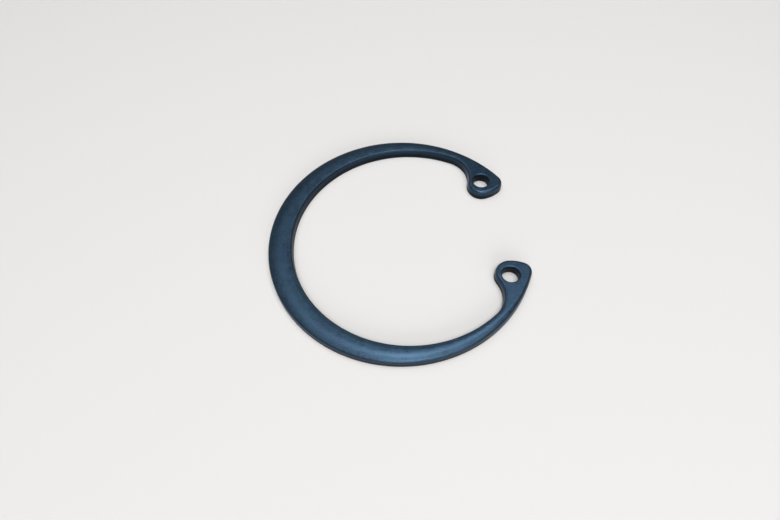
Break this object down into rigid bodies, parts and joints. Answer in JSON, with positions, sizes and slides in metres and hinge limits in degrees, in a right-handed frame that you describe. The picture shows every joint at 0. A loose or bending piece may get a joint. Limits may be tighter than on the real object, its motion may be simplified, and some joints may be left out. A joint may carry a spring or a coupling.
{
  "type": "internal retaining ring",
  "caption": "Open tapered ring of blued spring steel with inward lugs and plier holes at its gap, which snaps into the groove of a bore and holds what lies behind it.",
  "frame": {"origin": "on the ring's axis, in the plane of its square-edged under side", "axes": "+Z along the ring's axis towards the side with the rolled edges, +X from the axis through the middle of the gap between the lugs"},
  "size_m": [0.0359, 0.0378, 0.0015],
  "materials": {
    "blued_steel": "satin blue-black, stamped and tumbled spring steel with worn high edges"
  },
  "bodies": {
    "root": {"retaining_ring": "blued_steel"}
  },
  "joints": []
}
